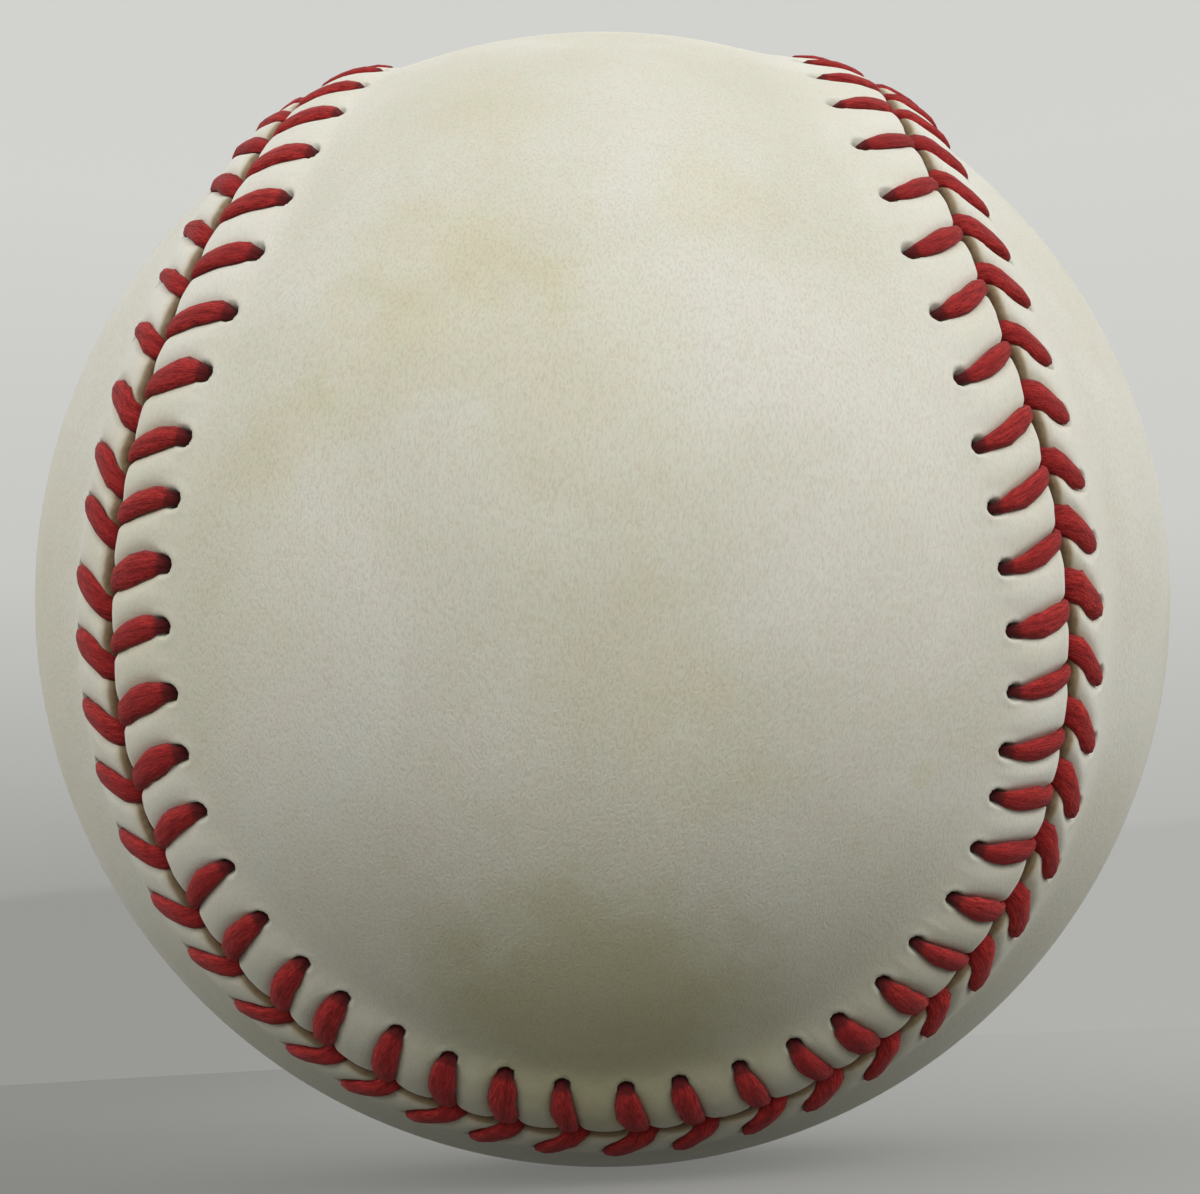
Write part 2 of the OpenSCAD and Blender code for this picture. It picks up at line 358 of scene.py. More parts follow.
# No two hand-made stitches are alike: each hole sits, and each leg leans, a little its own way.
# Round each lobe the upper panel's holes also creep ahead of the lower panel's and fall back,
# and every few stitches the hand changes its lean, how far from the edge it sews, and how
# wide the thread spreads.
hand = np.random.default_rng(11)
numbers = np.arange(STITCHES)
CHANGED_AT = [0, 20, 40, 58, 63, 66, 71, 77, 84, 90, 95, 100]
creep = np.sin(2 * math.pi * (numbers - 76.5) / (STITCHES / 4))
lag = np.sin(2 * math.pi * (numbers - 74.5) / (STITCHES / 4))


def changes(*values):
    """A value for every stitch, from one at each stitch where the hand changed."""
    return np.interp(numbers, CHANGED_AT, values, period=STITCHES)


lower_shift = changes(0.0, -0.02, 0.06, 0.03, 0.08, -0.03, 0.03, 0.0, 0.02, 0.0, -0.02, -0.07)
hole_places = {1: numbers + HOLE_PLACE + 0.04 + 0.3 * creep, -1: numbers + HOLE_PLACE + lower_shift}
leans = {1: LEANS[1] + 0.16 * lag - 0.3 * creep,
         -1: changes(0.55, 0.58, 0.44, 0.55, 0.5, 0.66, 0.42, 0.58, 0.6, 0.57, 0.48, 0.63)}
hole_ds = {1: changes(4.3, 4.5, 4.2, 4.7, 4.5, 4.0, 4.3, 4.7, 4.2, 4.2, 4.4, 4.1),
           -1: changes(4.2, 4.4, 3.9, 3.5, 3.2, 3.9, 4.4, 3.9, 3.0, 2.65, 2.7, 3.5)}
for side in (1, -1):
    hole_places[side] = hole_places[side] + slip(numbers) + hand.normal(0, 0.035, STITCHES)
    leans[side] = leans[side] + hand.normal(0, 0.035, STITCHES)
    hole_ds[side] = hole_ds[side] + hand.normal(0, 0.06, STITCHES)
widths = {1: changes(0.76, 0.85, 0.85, 0.84, 0.86, 0.88, 0.9, 0.93, 0.9, 0.86, 0.82, 0.76),
          -1: changes(0.87, 0.9, 0.9, 1.0, 1.0, 1.0, 0.98, 0.88, 1.05, 1.22, 1.22, 1.05)}
widths = {side: widths[side] * (1 + hand.normal(0, 0.08, STITCHES)) for side in (1, -1)}
pulls = {side: hand.normal(0, 0.05, STITCHES) for side in (1, -1)}
tapers = {1: changes(0.2, 0.12, 0.06, 0.06, 0.0, 0.0, 0.0, 0.0, 0.06, 0.18, 0.25, 0.24),
          -1: np.zeros(STITCHES)}


def even_d(d, hole_d):
    """A distance from the seam as it would be on a leg whose hole is the usual distance away."""
    stretch = (HOLE_D - LEAN_EVEN_D) / (hole_d - LEAN_EVEN_D)
    return np.where(d < LEAN_EVEN_D, d, LEAN_EVEN_D + (d - LEAN_EVEN_D) * stretch)


def lean_share(d):
    """How far a leg has leaned at an even distance from the seam, from 0 at its hole to 1."""
    return np.clip(1 - d / HOLE_D, 0, 1) ** LEAN_CURVE


def leg_half_width(side, d):
    """Half the width of a leg, measured along the seam: a leaf on the upper panel, and on the
    lower one a blade that is broad at the seam."""
    knots = [0.0, 0.4, 0.8, 1.3, 2.0, 2.8, 3.4, 3.9, 4.3, 4.6, 4.9]
    half = {1: [0.5, 0.58, 0.68, 0.79, 0.87, 0.9, 0.86, 0.78, 0.67, 0.54, 0.38],
            -1: [0.58, 0.7, 0.8, 0.86, 0.84, 0.75, 0.63, 0.51, 0.41, 0.32, 0.22]}[side]
    return np.interp(d, knots, half)


def nearest(side, place, d):
    """The signed distance along the seam, in millimetres, to the middle line of the nearest
    leg, and that leg's number."""
    guess = np.round(place - HOLE_PLACE - slip(place) - LEANS[side] * lean_share(d)).astype(int)
    best = np.full(np.broadcast(place, d).shape, 99.0)
    number = np.zeros(best.shape, int)
    for step in (-1, 0, 1):
        k = (guess + step) % STITCHES
        middle = hole_places[side][k] + leans[side][k] * lean_share(even_d(d, hole_ds[side][k]))
        gap = np.mod(place - middle + STITCHES / 2, STITCHES) - STITCHES / 2
        closer = np.abs(gap * PITCH) < np.abs(best)
        best = np.where(closer, gap * PITCH, best)
        number = np.where(closer, k, number)
    return best, number


def edge_distance(side, place):
    """Where the cut edge lies: it bulges into the seam and gives way where a thread dives."""
    own, _ = nearest(side, place, np.zeros_like(place))
    other, _ = nearest(-side, place, np.zeros_like(place))
    own_half, other_half = leg_half_width(side, 0.0), leg_half_width(-side, 0.0)
    own_give = OWN_GIVE * np.exp(-(own / own_half) ** 4)
    return EDGE_D + own_give + OTHER_GIVE * np.exp(-(other / other_half) ** 4)


def ridge(d):
    return CREST_RISE * (1 - eased(d, CREST_D, BAND_D)) ** RIDGE_CURVE


def leather_rise(side, place, d):
    """Height of the leather over the plain ball, and how far it is pressed or sunk, 0 to 1."""
    beside, k = nearest(side, place, d)
    hole_d = hole_ds[side][k]
    usual_d = even_d(d, hole_d)
    half = leg_half_width(side, usual_d) * widths[side][k]
    half = half * (1 - tapers[side][k] * eased(usual_d, *TAPER_RUN))
    groove = np.exp(-np.abs(beside / (half * GROOVE_SPREAD)) ** GROOVE_SQUARE)
    groove = groove * (1 - eased(d, hole_d - 0.4, hole_d + 0.9))
    puff = 0.5 - 0.5 * np.cos(2 * np.pi * beside / PITCH)
    puff = puff * (1 - eased(d, hole_d - 0.8, hole_d + 1.3))
    hole_gap = np.mod(place - hole_places[side][k] + STITCHES / 2, STITCHES) - STITCHES / 2
    hole_half = PUNCH_HALF_W * (1 - 0.6 * tapers[side][k])
    reach = np.hypot(hole_gap * PITCH / hole_half, (d - hole_d - PUNCH_OUT) / PUNCH_HALF_D)
    hole = 1 - eased(reach, 0.55, 1.2)
    lip = np.exp(-((reach - 1.55) / 0.45) ** 2) * eased(d, hole_d - 0.6, hole_d + 0.6)
    rise = ridge(d) + PUFF_RISE * puff - (LEG_PRESS + pulls[side][k]) * groove + LIP_RISE * lip
    rise = rise * (1 - hole) - PUNCH_DEPTH * hole
    return rise, groove, hole


BAND_ROWS = (1.3, 1.62, 1.94, 2.27, 2.6, 2.95, 3.3, 3.62, 3.92, 4.18, 4.4, 4.58, 4.74, 4.9, 5.06,
             5.22, 5.38, 5.56, 5.8, 6.15, 6.6, 7.1)


def cover_panel(name, side):
    """One panel as a closed shell: seam band, middle field, cut edge and flesh side."""
    dense = PER_STITCH * STITCHES
    stations = np.arange(dense) / PER_STITCH
    edge = edge_distance(side, stations)
    stitch_line = np.interp(stations, hole_places[side], hole_ds[side], period=STITCHES)
    verts, hollow, rubbed, soiled, worn, stretched, faces = [], [], [], [], [], [], []

    def add_row(places, d, rise, sunk, in_groove):
        first = sum(len(v) for v in verts)
        verts.append(over_ball(places, side * d, rise))
        beyond = d - edge[np.rint(places * PER_STITCH).astype(int)]
        hollow.append(np.broadcast_to(sunk, places.shape))
        # Where the legs press the leather in: grime and painted shade beside them
        rubbed.append(np.broadcast_to(in_groove, places.shape))
        # Grime and painted shade in the seam's gap, narrow on the upper panel and across the lower
        # panel's rim
        soiled.append(1 - (eased(beyond, 0.02, 0.2) if side > 0 else eased(beyond, 0.0, 0.72)))
        # A painted highlight along the upper panel's rim, faint on the lower one
        worn.append(np.exp(-((beyond - 0.3) / 0.22) ** 2) * (1.0 if side > 0 else 0.2))
        stretched.append(1 - eased(np.broadcast_to(d, places.shape), 4.5, 6.8))
        return first + np.arange(len(places))

    def top_row(usual_d):
        near_holes = np.interp(usual_d, [1.3, 4.2, 5.6, 7.1], [0, 1, 1, 0])
        d = usual_d + (stitch_line - HOLE_D) * near_holes
        rise, groove, hole = leather_rise(side, stations, d)
        return add_row(stations, d, rise, hole, groove)

    def face(a, b, c, way):
        faces.append(np.stack([a, b, c] if way > 0 else [a, c, b], axis=-1))

    def strip(near, far, way):
        """Quads between two rows of as many points, as pairs of triangles."""
        face(near, np.roll(near, -1), np.roll(far, -1), way)
        face(near, np.roll(far, -1), far, way)

    def gather(near, far, way):
        """A row of fewer points, far, takes several points of row near to each of its own."""
        ratio = len(near) // len(far)
        middle = ratio // 2
        ahead = np.roll(far, -1)
        for n in range(ratio):
            a, b = near[n::ratio], np.roll(near, -n - 1)[::ratio]
            face(a, b, far if n < middle else ahead, way)
            if n == middle - 1:
                face(b, ahead, far, way)

    # Rounded rim, from the cut edge up to the crest
    rounds = np.radians([0, 16, 34, 54, 72, 90])
    rows = []
    for bend in rounds:
        d = edge + (RIM_D - edge) * (1 - np.cos(bend))
        rise, groove, hole = leather_rise(side, stations, d)
        crest_here = rise - EDGE_DROP * (1 - np.sin(bend))
        rows.append(add_row(stations, d, crest_here, hole, groove))
    for d in BAND_ROWS:
        rows.append(top_row(d))
    for near, far in zip(rows, rows[1:]):
        strip(near, far, side)

    # From the seam's fine stations to the field's coarse ones
    third, sixth, coarse = stations[::3], stations[::6], stations[::12]
    middle_row = add_row(third, np.full(third.shape, FINE_D), 0 * third, 0.0, 0.0)
    field_row = add_row(sixth, np.full(sixth.shape, FIELD_D), 0 * sixth, 0.0, 0.0)
    gather(rows[-1], middle_row, side)
    gather(middle_row, field_row, side)

    def field(border, rise, cells, way):
        """The plain middle: ribs that run straight across to the mirrored point of the border."""
        count = len(border)
        ribs = count // 2
        first = -count // 4 if side > 0 else 0
        axis = 0 if side > 0 else 1
        points = np.concatenate(verts)[border] / MM
        units = points / np.linalg.norm(points, axis=1, keepdims=True)
        grid = np.zeros((ribs + 1, cells + 1), int)
        grid[0, :] = border[first % count]
        grid[ribs, :] = border[(first + ribs) % count]
        for q in range(1, ribs):
            start = units[(first + q) % count]
            lift = np.arcsin(start[axis]) * (1 - 2 * np.arange(1, cells) / cells)
            flat = start.copy()
            flat[axis] = 0
            flat /= np.linalg.norm(flat)
            way_out = np.cos(lift)[:, None] * flat
            way_out[:, axis] = np.sin(lift)
            base = sum(len(v) for v in verts)
            verts.append(way_out * (BALL_R + rise) * MM)
            for marks in (hollow, rubbed, soiled, worn, stretched):
                marks.append(np.zeros(cells - 1))
            grid[q, 1:cells] = base + np.arange(cells - 1)
            grid[q, 0] = border[(first + q) % count]
            grid[q, cells] = border[(first - q) % count]
        near, far = grid[:-1], grid[1:]
        face(near[:, :-1].ravel(), far[:, :-1].ravel(), far[:, 1:].ravel(), way)
        face(near[:, :-1].ravel(), far[:, 1:].ravel(), near[:, 1:].ravel(), way)

    field(field_row, 0.0, FIELD_CELLS, side)

    # Cut edge, then the flesh side, thinned over the lacing as the CAD panel is
    rim_rise, _, _ = leather_rise(side, stations, edge)
    low = add_row(stations, edge - 0.03, rim_rise - EDGE_DROP - FLESH_DROP, 0.45, 1.0)
    base_row = add_row(stations, edge, np.full(stations.shape, ROOF_RISE), 0.9, 1.0)
    strip(rows[0], low, -side)
    strip(low, base_row, -side)
    under_third = add_row(third, edge[::3] + 0.5, np.full(third.shape, ROOF_RISE), 0.9, 0.0)
    gather(base_row, under_third, -side)
    under = add_row(coarse, np.full(coarse.shape, 2.6), np.full(coarse.shape, ROOF_RISE), 0.5, 0.0)
    gather(under_third, under, -side)
    for d, rise in ((5.4, ROOF_RISE), (7.4, UNDER_RISE)):
        deeper = add_row(coarse, np.full(coarse.shape, d), np.full(coarse.shape, rise), 0.0, 0.0)
        strip(under, deeper, -side)
        under = deeper
    field(under, UNDER_RISE, FLESH_CELLS, -side)

    points = np.concatenate(verts)
    triangles = np.concatenate(faces)
    flat = (triangles[:, 0] == triangles[:, 1]) | (triangles[:, 1] == triangles[:, 2])
    flat |= triangles[:, 2] == triangles[:, 0]
    triangles = triangles[~flat]
    mesh = bpy.data.meshes.new(name)
    mesh.from_pydata(points.tolist(), [], triangles.tolist())
    for label, values in (("hollow", hollow), ("rubbed", rubbed), ("soiled", soiled),
                          ("worn", worn), ("stretched", stretched)):
        layer = mesh.attributes.new(label, "FLOAT", "POINT")
        layer.data.foreach_set("value", np.concatenate(values).astype(np.float32))
    mesh.shade_smooth()
    mesh.validate()
    piece = bpy.data.objects.new(name, mesh)
    bpy.context.scene.collection.objects.link(piece)
    return piece


LEATHER_DULL, LEATHER_BRIGHT = paint(222, 219, 203), paint(231, 229, 218)
LOW_SIDE = (0.76, 0.76, 0.69, 1.0)
GRIME_AND_SHADE, RIM_HIGHLIGHT = paint(196, 170, 118), paint(240, 234, 222)
RAW_EDGE_AND_GAP_SHADE, HOLE_SHADE, CREASE_SHADE = paint(128, 102, 66), paint(34, 20, 16), paint(200, 190, 160)
CLOUD, BLOTCH, CREASE, PORE = 13 * MM, 2.6 * MM, 0.17 * MM, 0.11 * MM
GRAIN_TURN, GRAIN_DRAW, GRAIN_DEPTH = (0.0, 0.22, 0.0), (0.75, 0.75, 2.1), 0.03 * MM

leather = Finish("pebbled_leather")
sunk_here = leather.attribute("hollow")
groove_grime_shade_here = leather.attribute("rubbed")
gap_grime_shade_here = leather.attribute("soiled")
rim_highlight_here = leather.attribute("worn")
clouds = leather.noise(CLOUD, detail=3, warp=0.4)
leather_colour = leather.blend(clouds.eased(0.3, 0.7), LEATHER_DULL, LEATHER_BRIGHT)

# Stains from hands and years, and a tan stain low on the front that is partly painted shade: a
# direction from the ball's centre, a radius and a strength each
STAIN, TAN_STAIN_AND_SHADE = (0.94, 0.91, 0.76, 1.0), (0.76, 0.74, 0.55, 1.0)
STAINS = [((-0.19, -0.92, 0.34), 8.0, 0.5), ((-0.26, -0.93, 0.25), 6.5, 0.3),
          ((-0.1, -0.9, 0.41), 5.5, 0.32), ((-0.02, -0.97, 0.26), 8.0, 0.25),
          ((0.22, -0.85, 0.48), 4.4, 0.4), ((-0.13, -0.72, 0.68), 5.0, 0.4),
          ((-0.6, -0.8, -0.05), 15.0, 0.3), ((-0.95, -0.3, -0.1), 16.0, 0.3),
          ((-0.44, -0.89, 0.13), 4.5, 0.45), ((0.03, -1.0, 0.06), 9.0, 0.25),
          ((0.08, -0.97, -0.22), 6.0, 0.25), ((0.48, -0.78, -0.4), 1.0, 0.45),
          ((0.15, -0.91, -0.37), 5.0, 0.2), ((0.0, -0.92, -0.4), 13.0, 0.25),
          ((0.7, 0.6, 0.4), 8.0, 0.5), ((-0.5, 0.8, -0.3), 9.0, 0.5)]
# The first tan stain, low on the front, is partly a stain and partly painted shade there
TAN_STAINS_AND_LOW_SHADE = [((-0.02, -0.66, -0.75), 12.5, 0.85), ((-0.3, 0.75, 0.6), 9.0, 0.5),
              ((-0.85, 0.1, 0.5), 7.0, 0.5)]
ragged = leather.noise(4 * MM, detail=5, roughness=0.6)
for kind, spots in ((STAIN, STAINS), (TAN_STAIN_AND_SHADE, TAN_STAINS_AND_LOW_SHADE)):
    for way, radius, strength in spots:
        middle = tuple(Vector(way).normalized() * BALL_R * MM)
        away = leather.vector("DISTANCE", leather.place, middle, output="Value")
        away = away + (ragged - 0.5) * (1.7 * min(radius, 6.0) * MM)
        mask = (1 - away.eased(0.35 * radius * MM, 1.05 * radius * MM)) * strength
        leather_colour = leather.blend(mask, leather_colour, kind, "MULTIPLY")

# The low side is greyer, darker towards the bottom
height = leather.add("ShaderNodeSeparateXYZ", {}, {"Vector": leather.place}, "Z") / (BALL_R * MM)
darker_low_down = (1 - height.eased(-0.77, -0.3)) * height.eased(-1.0, -0.94) * 0.92
leather_colour = leather.blend(darker_low_down, leather_colour, LOW_SIDE, "MULTIPLY")
blotches = leather.noise(BLOTCH, detail=4, roughness=0.6).eased(0.5, 0.8) * 0.25
leather_colour = leather.blend(blotches, leather_colour, STAIN, "MULTIPLY")

# Grain: fine pebbles drawn out up and down, with short creases between them, which get painted
# shade
lengthwise = leather.add("ShaderNodeMapping", {"vector_type": "TEXTURE"}, {
    "Vector": leather.place, "Rotation": GRAIN_TURN, "Scale": GRAIN_DRAW}, "Vector")
creases = leather.noise(CREASE, detail=3, roughness=0.65, place=lengthwise)
pores = leather.noise(PORE, detail=2, roughness=0.6)
soft = leather.noise(0.8 * MM, detail=2, roughness=0.5)
stretched = leather.attribute("stretched")
grain = ((1 - creases.eased(0.33, 0.7)) * 0.65 + pores * 0.25) * (1 - stretched * 0.5) + soft * 0.3
leather_colour = leather.blend(creases.eased(0.42, 0.7) * (0.28 - 0.12 * stretched),
                               leather_colour, CREASE_SHADE, "MULTIPLY")
hue = leather.noise(1.1 * MM, detail=3, roughness=0.6).eased(0.35, 0.65)
pinker = leather.blend(1.0, leather_colour, (1.0, 0.985, 0.965, 1.0), "MULTIPLY")
greener = leather.blend(1.0, leather_colour, (0.985, 1.0, 0.975, 1.0), "MULTIPLY")
leather_colour = leather.blend(hue, pinker, greener)

# Grime and painted shade sit beside the stitches and down the lower panel's rim into the seam's
# gap, the upper panel's rim gets a painted highlight, the raw cut edge is brown and also stands as
# painted shade deep in the gap, and the holes are painted dark as shade
grime_and_shade = (gap_grime_shade_here * 0.6 + groove_grime_shade_here * 0.3) * (0.75 + 0.5 * leather.noise(0.5 * MM))
leather_colour = leather.blend(grime_and_shade.clamped(), leather_colour, GRIME_AND_SHADE, "MULTIPLY")
leather_colour = leather.blend(rim_highlight_here * 0.45, leather_colour, RIM_HIGHLIGHT)
# The raw cut edge's own brown, which also stands as painted shade deep in the seam's gap
raw_edge_and_gap_shade = gap_grime_shade_here.eased(0.5, 1.0) * (0.6 + 0.5 * leather.noise(0.35 * MM))
leather_colour = leather.blend(raw_edge_and_gap_shade.clamped(), leather_colour, RAW_EDGE_AND_GAP_SHADE)
# Painted shade: the shallow dents of the holes are painted near black
leather_colour = leather.blend(sunk_here.eased(0.4, 0.85), leather_colour, HOLE_SHADE)
cover_leather = leather.close(
    leather_colour, 0.5 + 0.12 * pores, grain, GRAIN_DEPTH, Specular_IOR_Level=0.45,
    Sheen_Weight=0.12, Sheen_Roughness=0.5)

for side, name in ((1, "upper_leather_panel"), (-1, "lower_leather_panel")):
    panel = cover_panel(name, side)
    dress(panel, cover_leather)
    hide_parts("upper_cover_panel" if side > 0 else "lower_cover_panel")
    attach(panel, "root")


# Seam threads: two lengths of waxed red cotton, a needle on each. Each thread takes a leg on
# one panel, dives into the seam, passes under the other panel, comes up through its hole and
# takes a leg there; the two threads fill each other's misses, 108 stitches round.
THREAD_SIDES = 8
HIDDEN_RISE = -1.05
LEG_HALF_T, TURN_HALF_T, HOLE_HALF_W = 0.33, 0.26, 0.4
LEG_LIFT, EDGE_MIDDLE_D = 0.03, 0.39
UNEVEN_EDGE, UNEVEN_PER_MM = 0.45, 2.2


def bed_rise(d):
    """Height of the leather under a leg."""
    along_rim = np.clip(1 - (d - EDGE_MIDDLE_D) / (RIM_D - EDGE_MIDDLE_D), 0, 1)
    rim = EDGE_DROP * (1 - np.sin(np.arccos(along_rim)))
    return ridge(d) - LEG_PRESS - (rim if d < RIM_D else 0)


def leg_mesh():
    """One leg with its hidden run to the next hole, laid along x = 0 in the flat."""
    rings = [(HOLE_D, HIDDEN_RISE, HOLE_HALF_W, TURN_HALF_T, 0),
             (HOLE_D + 0.1, -0.5, HOLE_HALF_W + 0.04, TURN_HALF_T, 0),
             (HOLE_D + 0.12, -0.06, 0.47, TURN_HALF_T + 0.02, 1)]
    for d in (4.5, 4.1, 3.5, 2.8, 2.1, 1.4, 0.9, 0.6, 0.42):
        slope = (bed_rise(d + 0.01) - bed_rise(d - 0.004)) / 0.014
        normal = np.array([-slope, 1]) / np.hypot(slope, 1)
        half_t = np.interp(d, [0.4, 1.2, 3.6, 4.5],
                           [TURN_HALF_T, LEG_HALF_T, LEG_HALF_T, TURN_HALF_T])
        centre = np.array([d, bed_rise(d)]) + normal * (half_t + LEG_LIFT)
        rings.append((*centre, leg_half_width(1, d), half_t, 1))
    rings.append((0.06, -0.12, 0.5, TURN_HALF_T, 0.6))
    rings.append((0.0, HIDDEN_RISE, HOLE_HALF_W, TURN_HALF_T, 0))
    rings.append((-HOLE_D, HIDDEN_RISE, HOLE_HALF_W, TURN_HALF_T, 0))
    centres = np.array([ring[:2] for ring in rings])
    ways = np.diff(centres, axis=0)
    ways /= np.linalg.norm(ways, axis=1, keepdims=True)
    turned = np.vstack([[0.7, 0.7], ways[:-1] + ways[1:], [-0.7, 0.7]])
    turned /= np.linalg.norm(turned, axis=1, keepdims=True)
    points, marks = [], {"share": [], "body": [], "across": [], "run": [], "blade": []}
    for n, (d, rise, half_w, half_t, body) in enumerate(rings):
        normal = np.array([-turned[n][1], turned[n][0]])
        share = 2.0 if d < -1 else float(np.clip(1 - d / HOLE_D, 0, 1))
        blade = 1 + body * (leg_half_width(-1, d) / leg_half_width(1, d) - 1)
        for corner in range(THREAD_SIDES):
            angle = 2 * math.pi * corner / THREAD_SIDES
            out = math.copysign(abs(math.sin(angle)) ** 0.8, math.sin(angle)) * half_t
            at = np.array([d, rise]) + normal * out
            points.append((math.cos(angle) * half_w * MM, at[0] * MM, at[1] * MM))
            values = (share, body, math.cos(angle), n / len(rings), float(blade))
            for mark, value in zip(marks, values):
                marks[mark].append(value)
    faces = []
    for n in range(len(rings) - 1):
        for corner in range(THREAD_SIDES):
            a, b = n * THREAD_SIDES + corner, n * THREAD_SIDES + (corner + 1) % THREAD_SIDES
            faces.append((a, a + THREAD_SIDES, b + THREAD_SIDES, b))
    mesh = bpy.data.meshes.new("leg")
    mesh.from_pydata(points, [], faces)
    for mark, values in marks.items():
        mesh.attributes.new(mark, "FLOAT", "POINT").data.foreach_set("value", values)
    return mesh


def lacing_tree():
    """Sets a leg at every hole, then wraps the flat row of legs along the seam's path."""
    tree = bpy.data.node_groups.new("lacing", "GeometryNodeTree")
    for label, kind in (("Holes", "Geometry"), ("Leg", "Object"), ("Seam path", "Object"),
                        ("Stitches", "Int"), ("Ball radius", "Float"), ("Stitch pitch", "Float"),
                        ("Thread", "Material")):
        tree.interface.new_socket(label, in_out="INPUT", socket_type="NodeSocket" + kind)
    tree.interface.new_socket("Laces", in_out="OUTPUT", socket_type="NodeSocketGeometry")
    nodes = Nodes(tree)
    entry = tree.nodes.new("NodeGroupInput")
    given = {socket.name: Value(nodes, socket) for socket in entry.outputs if socket.name}

    def mark(name):
        return nodes.add("GeometryNodeInputNamedAttribute", {"data_type": "FLOAT"},
                         {"Name": name}, "Attribute")

    def shape_of(name):
        return nodes.add("GeometryNodeObjectInfo", {}, {"Object": given[name]}, "Geometry")

    legs = nodes.add("GeometryNodeInstanceOnPoints", {},
                     {"Points": given["Holes"], "Instance": shape_of("Leg")}, "Instances")
    legs = nodes.add("GeometryNodeRealizeInstances", {}, {"Geometry": legs}, "Geometry")
    lower = mark("side").math("LESS_THAN", mark("side"), 0.0)
    legs = nodes.add("GeometryNodeFlipFaces", {}, {"Mesh": legs, "Selection": lower}, "Mesh")

    flat = nodes.add("GeometryNodeInputPosition")
    parts = nodes.tree.nodes.new("ShaderNodeSeparateXYZ")
    tree.links.new(flat.socket, parts.inputs[0])
    x, y, z = (Value(nodes, socket) for socket in parts.outputs)
    share = mark("share")
    shown = share.math("MINIMUM", share, 1.0) ** LEAN_CURVE
    hidden = share.math("MAXIMUM", share - 1.0, 0.0)
    fullness = ((mark("width") - 1.0) * mark("body") + 1.0) * ((mark("blade") - 1.0) * lower + 1.0)
    middle = mark("place") + mark("lean") * shown + (mark("reach") - mark("lean")) * hidden

    # The edges of a leg are a little uneven, and some legs taper towards their holes
    lane = nodes.add("ShaderNodeCombineXYZ", {}, {
        "X": y * (UNEVEN_PER_MM / MM), "Y": mark("tone") * 40.0, "Z": mark("across") * 1.5})
    uneven = nodes.add("ShaderNodeTexNoise", {},
                       {"Vector": lane, "Scale": 1.0, "Detail": 0.0}, "Fac")
    fullness = fullness * ((uneven - 0.5) * (UNEVEN_EDGE * mark("body")) + 1.0)
    narrowed = ((1.0 - share) * HOLE_D).eased(*TAPER_RUN) * mark("body")
    fullness = fullness * (1.0 - mark("taper") * narrowed)
    place = middle + x * fullness / given["Stitch pitch"]
    turns = place / given["Stitches"]

    # Draw each leg out to its own hole and lift it with the ridge there
    usual = HOLE_D - LEAN_EVEN_D
    drawn = ((1.0 - share) * (HOLE_D / usual) - LEAN_EVEN_D / usual).clamped()
    d = y + (mark("hole_d") - HOLE_D) * MM * drawn - (mark("next_hole_d") - HOLE_D) * MM * hidden

    def ridge_height(at):
        return (1.0 - at.eased(CREST_D * MM, BAND_D * MM)) ** RIDGE_CURVE * (CREST_RISE * MM)

    lift = (ridge_height(d) - ridge_height(y)) * mark("body")
    sample = tree.nodes.new("GeometryNodeSampleCurve")
    sample.mode = "FACTOR"
    sample.use_all_curves = True
    tree.links.new(shape_of("Seam path").socket, sample.inputs["Curves"])
    tree.links.new(turns.math("FRACT", turns).socket, sample.inputs["Factor"])
    outward = nodes.vector("NORMALIZE", Value(nodes, sample.outputs["Position"]))
    along = nodes.vector("NORMALIZE", Value(nodes, sample.outputs["Tangent"]))
    over = nodes.vector("CROSS_PRODUCT", outward, along)
    stray = nodes.vector("LENGTH", Value(nodes, sample.outputs["Position"]), output="Value") - 1.0
    stray = stray * (1.0 - d.math("ABSOLUTE", d).eased(STRAY_FADE[0] * MM, STRAY_FADE[1] * MM))
    turn = (d * mark("side") + stray) / given["Ball radius"]
    way = nodes.vector("ADD", nodes.scaled(outward, turn.math("COSINE", turn)),
                       nodes.scaled(over, turn.math("SINE", turn)))
    wrapped = nodes.scaled(way, given["Ball radius"] + z + lift)
    laces = nodes.add("GeometryNodeSetPosition", {}, {"Geometry": legs, "Position": wrapped})
    laces = nodes.add("GeometryNodeMergeByDistance", {}, {"Geometry": laces, "Distance": 2e-6})
    laces = nodes.add("GeometryNodeSetShadeSmooth", {}, {"Geometry": laces})
    laces = nodes.add("GeometryNodeSetMaterial", {},
                      {"Geometry": laces, "Material": given["Thread"]})
    leaving = tree.nodes.new("NodeGroupOutput")
    tree.links.new(laces.socket, leaving.inputs[0])
    return tree


RED_DEEP, RED_BRIGHT, RED_WORN = paint(120, 14, 19), paint(206, 60, 54), paint(138, 19, 23)
PLY_GAP_SHADE, THREAD_HOLE_SHADE, SEAM_DIVE_SHADE = paint(92, 8, 13), paint(46, 8, 13), paint(30, 7, 9)
FIBRE, STRAND_DEPTH = 0.1 * MM, 0.15 * MM

thread = Finish("waxed_red_thread")
across, run, tone = (thread.attribute(name) for name in ("across", "run", "tone"))
body_here = thread.attribute("body")
weave = across * 2.3 + run * 1.4 + tone * 7.0
lane = thread.add("ShaderNodeCombineXYZ", {}, {"X": weave, "Y": run * 2.6, "Z": tone * 40.0})
strands = thread.add("ShaderNodeTexNoise", {}, {"Vector": lane, "Scale": 5.5, "Detail": 4.0,
                                                "Roughness": 0.65}, "Fac")
fibres = thread.noise(FIBRE, detail=2)
twist = across * 1.6 + run * 2.4 + tone
plies = (twist * math.pi).math("SINE", twist * math.pi)
plies = (plies * 0.5 + 0.5) ** 0.4
thread_colour = thread.blend((strands * 0.75 + fibres * 0.25).eased(0.34, 0.66),
                             RED_DEEP, RED_BRIGHT)
